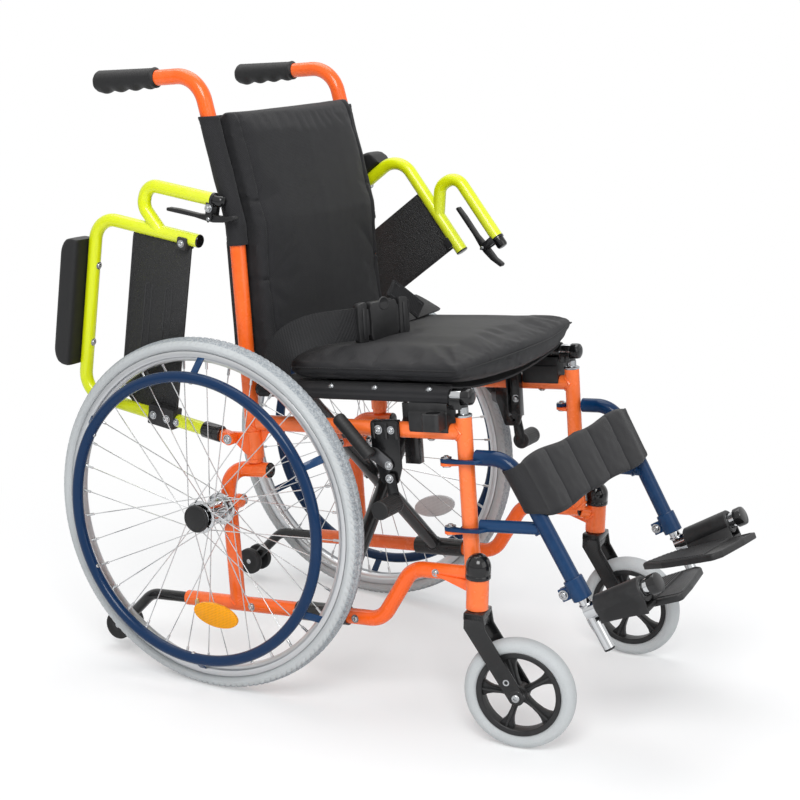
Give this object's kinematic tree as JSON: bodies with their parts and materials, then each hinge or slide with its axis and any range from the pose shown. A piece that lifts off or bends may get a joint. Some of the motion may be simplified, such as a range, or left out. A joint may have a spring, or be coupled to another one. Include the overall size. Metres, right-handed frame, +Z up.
{
  "type": "pediatric wheelchair",
  "caption": "Child's folding self-propelled wheelchair with flip-back armrests, swing-away footrests, push-to-lock brakes, calf strap, lap belt and anti-tip wheels",
  "frame": {"origin": "middle of the bounding box on the floor", "axes": "+Z up, the occupant looks along -Y, the occupant's left is at +X"},
  "size_m": [0.5496, 0.948, 0.8693],
  "materials": {
    "orange_paint": "gloss orange powder coat",
    "lime_paint": "gloss lime powder coat",
    "navy_paint": "gloss navy powder coat",
    "black_paint": "satin black powder coat",
    "black_plastic": "moulded black plastic",
    "black_rubber": "soft black rubber",
    "black_cloth": "woven black cloth",
    "grey_tyre": "pale grey tyre",
    "bright_metal": "bright plated metal"
  },
  "bodies": {
    "right_frame": {"side_frame_right": "orange_paint", "back_cane_right": "orange_paint", "push_grip_right": "black_rubber", "castor_cap_right": "black_plastic", "rail_guide_right": "black_plastic", "frame_channel_right": "black_paint", "brake_mount_right": "black_paint", "anti_tip_tube_right": "black_paint", "back_sling": "black_cloth", "back_cushion": "black_cloth"},
    "brace_right": {"cross_brace_right": "black_paint"},
    "brace_left": {"cross_brace_left": "black_paint"},
    "left_frame": {"side_frame_left": "orange_paint", "back_cane_left": "orange_paint", "push_grip_left": "black_rubber", "castor_cap_left": "black_plastic", "rail_guide_left": "black_plastic", "frame_channel_left": "black_paint", "brake_mount_left": "black_paint", "anti_tip_tube_left": "black_paint"},
    "seat": {"seat_sling": "black_cloth", "seat_cushion": "black_cloth", "belt_strap_right": "black_cloth", "belt_strap_left": "black_cloth"},
    "buckle": {"belt_buckle": "black_plastic"},
    "rear_wheel_right": {"rear_tyre_right": "grey_tyre", "rear_wheel_right": "bright_metal", "handrim_right": "navy_paint"},
    "castor_right": {"castor_fork_right": "black_paint"},
    "castor_wheel_right": {"castor_tyre_right": "grey_tyre", "castor_wheel_right": "black_plastic"},
    "link_right": {"folding_link_right": "orange_paint"},
    "armrest_right": {"armrest_frame_right": "lime_paint", "arm_pad_right": "black_plastic", "skirt_guard_right": "black_plastic"},
    "latch_right": {"armrest_latch_right": "black_plastic"},
    "brake_lever_right": {"brake_lever_right": "black_plastic"},
    "brake_shoe_right": {"brake_shoe_right": "black_plastic"},
    "hanger_right": {"footrest_hanger_right": "navy_paint", "calf_strap": "black_cloth"},
    "extension_right": {"footrest_extension_right": "bright_metal"},
    "footplate_right": {"footplate_right": "black_plastic"},
    "anti_tip_right": {"anti_tip_wheel_right": "black_rubber"},
    "rear_wheel_left": {"rear_tyre_left": "grey_tyre", "rear_wheel_left": "bright_metal", "handrim_left": "navy_paint"},
    "castor_left": {"castor_fork_left": "black_paint"},
    "castor_wheel_left": {"castor_tyre_left": "grey_tyre", "castor_wheel_left": "black_plastic"},
    "link_left": {"folding_link_left": "orange_paint"},
    "armrest_left": {"armrest_frame_left": "lime_paint", "arm_pad_left": "black_plastic", "skirt_guard_left": "black_plastic"},
    "latch_left": {"armrest_latch_left": "black_plastic"},
    "brake_lever_left": {"brake_lever_left": "black_plastic"},
    "brake_shoe_left": {"brake_shoe_left": "black_plastic"},
    "hanger_left": {"footrest_hanger_left": "navy_paint"},
    "extension_left": {"footrest_extension_left": "bright_metal"},
    "footplate_left": {"footplate_left": "black_plastic"},
    "anti_tip_left": {"anti_tip_wheel_left": "black_rubber"}
  },
  "joints": [
    {"name": "fold", "type": "hinge", "parent": "right_frame", "child": "brace_right", "pos_m": [-0.1755, 0.02098, 0.12315], "axis": [0, -0.995, 0.0995], "range_deg": [0, 30], "deforming": ["seat_sling", "seat_cushion", "belt_strap_right", "belt_strap_left", "back_sling", "back_cushion", "calf_strap"]},
    {"name": "fold_cross", "type": "hinge", "parent": "brace_right", "child": "brace_left", "pos_m": [0, 0.06178, 0.27987], "axis": [0, -0.995, 0.0995], "range_deg": [-60, 0]},
    {"name": "fold_left", "type": "hinge", "parent": "brace_left", "child": "left_frame", "pos_m": [0.1755, 0.04586, 0.12066], "axis": [0, -0.995, 0.0995], "range_deg": [0, 30]},
    {"name": "seat_lift", "type": "slide", "parent": "right_frame", "child": "seat", "axis": [-0.721, 0.0689, 0.6895], "range_m": [0, 0.14366]},
    {"name": "buckle_lift", "type": "slide", "parent": "right_frame", "child": "buckle", "axis": [-0.4472, 0.089, 0.89], "range_m": [0, 0.06718]},
    {"name": "rear_wheel_spin_right", "type": "hinge", "parent": "right_frame", "child": "rear_wheel_right", "pos_m": [-0.2306, 0.19989, 0.254], "axis": [1, 0, 0], "continuous": true},
    {"name": "castor_swivel_right", "type": "hinge", "parent": "right_frame", "child": "castor_right", "pos_m": [-0.1988, -0.21371, 0.1854], "axis": [0, 0, 1], "continuous": true},
    {"name": "castor_spin_right", "type": "hinge", "parent": "castor_right", "child": "castor_wheel_right", "pos_m": [-0.18804, -0.27599, 0.0765], "axis": [0.9854, 0.1702, 0], "continuous": true},
    {"name": "link_swing_right", "type": "hinge", "parent": "right_frame", "child": "link_right", "pos_m": [-0.155, 0.03193, 0.36627], "axis": [0, -0.995, 0.0995], "range_deg": [0, 86]},
    {"name": "armrest_flip_right", "type": "hinge", "parent": "right_frame", "child": "armrest_right", "pos_m": [-0.199, 0.18335, 0.35997], "axis": [1, 0, 0], "range_deg": [-5, 77.6]},
    {"name": "latch_swing_right", "type": "hinge", "parent": "armrest_right", "child": "latch_right", "pos_m": [-0.199, 0.21151, 0.66936], "axis": [1, 0, 0], "range_deg": [0, 8]},
    {"name": "brake_lever_swing_right", "type": "hinge", "parent": "right_frame", "child": "brake_lever_right", "pos_m": [-0.1911, -0.07312, 0.35899], "axis": [1, 0, 0], "range_deg": [0, 55]},
    {"name": "brake_shoe_swing_right", "type": "hinge", "parent": "right_frame", "child": "brake_shoe_right", "pos_m": [-0.1944, -0.07662, 0.34205], "axis": [1, 0, 0], "range_deg": [0, 40.1]},
    {"name": "hanger_swing_right", "type": "hinge", "parent": "right_frame", "child": "hanger_right", "pos_m": [-0.186, -0.15529, 0.38047], "axis": [0, 0.0995, 0.995], "range_deg": [-90, 0], "deforming": ["calf_strap"]},
    {"name": "footrest_slide_right", "type": "slide", "parent": "hanger_right", "child": "extension_right", "axis": [0.0464, -0.531, -0.8461], "range_m": [0, 0.06]},
    {"name": "footplate_flip_right", "type": "hinge", "parent": "extension_right", "child": "footplate_right", "pos_m": [-0.16519, -0.36003, 0.20098], "axis": [-0.023, -0.8474, 0.5305], "range_deg": [0, 80.1]},
    {"name": "anti_tip_spin_right", "type": "hinge", "parent": "right_frame", "child": "anti_tip_right", "pos_m": [-0.1755, 0.39487, 0.03501], "axis": [1, 0, 0], "continuous": true},
    {"name": "rear_wheel_spin_left", "type": "hinge", "parent": "left_frame", "child": "rear_wheel_left", "pos_m": [0.2306, 0.19989, 0.254], "axis": [1, 0, 0], "continuous": true},
    {"name": "castor_swivel_left", "type": "hinge", "parent": "left_frame", "child": "castor_left", "pos_m": [0.1988, -0.21371, 0.1854], "axis": [0, 0, 1], "continuous": true},
    {"name": "castor_spin_left", "type": "hinge", "parent": "castor_left", "child": "castor_wheel_left", "pos_m": [0.20101, -0.27687, 0.0765], "axis": [0.9994, 0.0349, 0], "continuous": true},
    {"name": "link_swing_left", "type": "hinge", "parent": "left_frame", "child": "link_left", "pos_m": [0.155, 0.03193, 0.36627], "axis": [0, -0.995, 0.0995], "range_deg": [-86, 0]},
    {"name": "armrest_flip_left", "type": "hinge", "parent": "left_frame", "child": "armrest_left", "pos_m": [0.199, 0.18335, 0.35997], "axis": [1, 0, 0], "range_deg": [-49, 33.6]},
    {"name": "latch_swing_left", "type": "hinge", "parent": "armrest_left", "child": "latch_left", "pos_m": [0.199, -0.01131, 0.60208], "axis": [1, 0, 0], "range_deg": [0, 8]},
    {"name": "brake_lever_swing_left", "type": "hinge", "parent": "left_frame", "child": "brake_lever_left", "pos_m": [0.1911, -0.07312, 0.35899], "axis": [1, 0, 0], "range_deg": [0, 55]},
    {"name": "brake_shoe_swing_left", "type": "hinge", "parent": "left_frame", "child": "brake_shoe_left", "pos_m": [0.1944, -0.07662, 0.34205], "axis": [1, 0, 0], "range_deg": [0, 40.1]},
    {"name": "hanger_swing_left", "type": "hinge", "parent": "left_frame", "child": "hanger_left", "pos_m": [0.186, -0.15529, 0.38047], "axis": [0, 0.0995, 0.995], "range_deg": [0, 90], "deforming": ["calf_strap"]},
    {"name": "footrest_slide_left", "type": "slide", "parent": "hanger_left", "child": "extension_left", "axis": [-0.0464, -0.531, -0.8461], "range_m": [0, 0.06]},
    {"name": "footplate_flip_left", "type": "hinge", "parent": "extension_left", "child": "footplate_left", "pos_m": [0.16519, -0.36003, 0.20098], "axis": [0.023, -0.8474, 0.5305], "range_deg": [-80.1, 0]},
    {"name": "anti_tip_spin_left", "type": "hinge", "parent": "left_frame", "child": "anti_tip_left", "pos_m": [0.1755, 0.39487, 0.03501], "axis": [1, 0, 0], "continuous": true}
  ],
  "couplings": [
    {"joint": "fold_cross", "follows": "fold", "ratio": -2},
    {"joint": "fold_left", "follows": "fold", "ratio": 1},
    {"joint": "seat_lift", "follows": "fold", "m_per_rad": 0.27418},
    {"joint": "buckle_lift", "follows": "fold", "m_per_rad": 0.12812},
    {"joint": "link_swing_right", "follows": "fold", "ratio": 2.86},
    {"joint": "brake_shoe_swing_right", "follows": "brake_lever_swing_right", "ratio": 0.727},
    {"joint": "footplate_flip_right", "follows": "fold", "ratio": 2.6667},
    {"joint": "link_swing_left", "follows": "fold", "ratio": -2.86},
    {"joint": "brake_shoe_swing_left", "follows": "brake_lever_swing_left", "ratio": 0.727},
    {"joint": "footplate_flip_left", "follows": "fold", "ratio": -2.6667}
  ]
}
